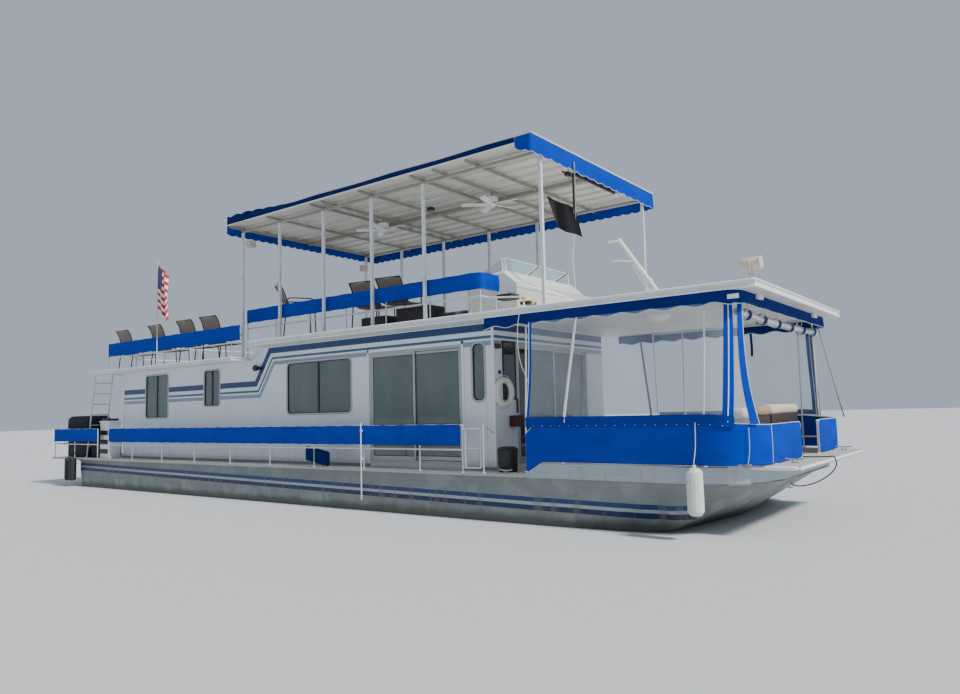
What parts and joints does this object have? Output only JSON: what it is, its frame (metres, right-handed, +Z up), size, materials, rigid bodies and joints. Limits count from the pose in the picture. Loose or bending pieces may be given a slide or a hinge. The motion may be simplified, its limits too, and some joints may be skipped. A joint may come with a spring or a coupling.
{
  "type": "cruising houseboat",
  "caption": "Aluminium cruising houseboat with a panelled cabin, fabric-sided porch, roofed upper deck, flybridge helm and stern drives.",
  "frame": {"origin": "on the centreline amidships, at the waterline", "axes": "+X to the bow, +Y to port, +Z up"},
  "size_m": [19.7519, 5.0978, 6.91],
  "materials": {
    "hull_aluminium": "bare brushed marine aluminium, streaked, with painted boot stripes",
    "deck": "pale non-skid deck paint with a light edge",
    "panel": "white gloss-painted aluminium panels with coloured stripes",
    "roof": "off-white painted sheet, lightly weathered",
    "pipe": "white-grey coated tube",
    "blue_fabric": "royal blue woven acrylic canvas",
    "clear_vinyl": "clear flexible sheet, softly rippled",
    "window_glass": "tinted glass in slim frames",
    "gelcoat": "white moulded gelcoat",
    "metal": "brushed steel",
    "drive_paint": "black gloss-painted casting",
    "black_plastic": "black moulded plastic",
    "striped_cloth": "red and white striped flag cloth with a blue corner",
    "foam": "white soft-skinned foam",
    "white_line": "white braided line",
    "black_line": "black braided line"
  },
  "bodies": {
    "root": {"hull": "hull_aluminium", "engines": "metal", "main_deck": "deck", "bow_deck": "deck", "wall_starboard": "panel", "wall_port": "panel", "wall_front": "panel", "wall_aft": "panel", "window_starboard": "window_glass", "window_port": "window_glass", "side_door_starboard_fixed": "window_glass", "side_door_port_fixed": "window_glass", "front_door_fixed": "window_glass", "roof_aft": "roof", "roof_main": "roof", "rail_starboard": "pipe", "rail_port": "pipe", "rail_cover_starboard": "blue_fabric", "rail_cover_port": "blue_fabric", "rail_aft": "pipe", "rail_cover_aft": "blue_fabric", "ladder": "pipe", "porch_frame": "pipe", "porch_cover_starboard": "blue_fabric", "porch_cover_port": "blue_fabric", "curtain_starboard": "clear_vinyl", "curtain_port": "clear_vinyl", "porch_valance": "blue_fabric", "upper_rail": "pipe", "upper_cover_starboard": "blue_fabric", "upper_cover_port": "blue_fabric", "flag_striped": "striped_cloth", "top_rail": "pipe", "top_cover_starboard": "blue_fabric", "top_cover_port": "blue_fabric", "canopy_side_starboard": "pipe", "canopy_side_port": "pipe", "canopy_frame": "pipe", "canopy_roof": "roof", "canopy_valance": "blue_fabric", "fairing": "gelcoat", "windscreen": "window_glass", "life_ring": "foam", "fender": "foam", "fender_line": "white_line", "mooring_line": "black_line"},
    "aft_door": {"aft_door": "panel"},
    "side_door_starboard": {"side_door_starboard_slide": "window_glass"},
    "side_door_port": {"side_door_port_slide": "window_glass"},
    "front_door": {"front_door_slide": "window_glass"},
    "gate_starboard": {"gate_starboard": "pipe"},
    "gate_port": {"gate_port": "pipe"},
    "fan_fore": {"fan_fore": "gelcoat"},
    "fan_aft": {"fan_aft": "gelcoat"},
    "helm_wheel": {"helm_wheel": "black_plastic"},
    "mast": {"mast": "gelcoat"},
    "drive_starboard": {"drive_starboard": "drive_paint"},
    "drive_port": {"drive_port": "drive_paint"},
    "propeller_starboard": {"propeller_starboard": "metal"},
    "propeller_port": {"propeller_port": "metal"}
  },
  "joints": [
    {"name": "aft_door_hinge", "type": "hinge", "parent": "root", "child": "aft_door", "pos_m": [-7.1, 0.4, 1.75], "axis": [0, 0, -1], "range_deg": [0, 110]},
    {"name": "side_door_starboard_track", "type": "slide", "parent": "root", "child": "side_door_starboard", "axis": [-1, 0, 0], "range_m": [0, 1.02]},
    {"name": "side_door_port_track", "type": "slide", "parent": "root", "child": "side_door_port", "axis": [-1, 0, 0], "range_m": [0, 1.02]},
    {"name": "front_door_track", "type": "slide", "parent": "root", "child": "front_door", "axis": [0, -1, 0], "range_m": [0, 1.14]},
    {"name": "gate_starboard_hinge", "type": "hinge", "parent": "root", "child": "gate_starboard", "pos_m": [4.77, -2.415, 1.13], "axis": [0, 0, 1], "range_deg": [0, 90]},
    {"name": "gate_port_hinge", "type": "hinge", "parent": "root", "child": "gate_port", "pos_m": [4.77, 2.415, 1.13], "axis": [0, 0, -1], "range_deg": [0, 90]},
    {"name": "fan_fore_spin", "type": "hinge", "parent": "root", "child": "fan_fore", "pos_m": [4.094, -0.5, 5.66], "axis": [0, 0, 1], "continuous": true},
    {"name": "fan_aft_spin", "type": "hinge", "parent": "root", "child": "fan_aft", "pos_m": [1.183, -0.5, 5.66], "axis": [0, 0, 1], "continuous": true},
    {"name": "mast_fold", "type": "hinge", "parent": "root", "child": "mast", "pos_m": [7.39, 0, 3.358], "axis": [0, 1, 0], "range_deg": [-15, 112]},
    {"name": "drive_starboard_steer", "type": "hinge", "parent": "root", "child": "drive_starboard", "pos_m": [-8.43, -0.75, 0.09], "axis": [0, 0, 1], "range_deg": [-28, 28]},
    {"name": "drive_port_steer", "type": "hinge", "parent": "root", "child": "drive_port", "pos_m": [-8.43, 0.75, 0.09], "axis": [0, 0, 1], "range_deg": [-28, 28]},
    {"name": "helm_wheel_turn", "type": "hinge", "parent": "root", "child": "helm_wheel", "pos_m": [4.61, -0.42, 3.98], "axis": [-0.9394, 0, 0.3429], "range_deg": [-540, 540]},
    {"name": "propeller_starboard_spin", "type": "hinge", "parent": "drive_starboard", "child": "propeller_starboard", "pos_m": [-8.96, -0.75, -0.56], "axis": [1, 0, 0], "continuous": true},
    {"name": "propeller_port_spin", "type": "hinge", "parent": "drive_port", "child": "propeller_port", "pos_m": [-8.96, 0.75, -0.56], "axis": [1, 0, 0], "continuous": true}
  ],
  "couplings": [
    {"joint": "drive_port_steer", "follows": "drive_starboard_steer", "ratio": 1},
    {"joint": "helm_wheel_turn", "follows": "drive_starboard_steer", "ratio": -19.28}
  ]
}
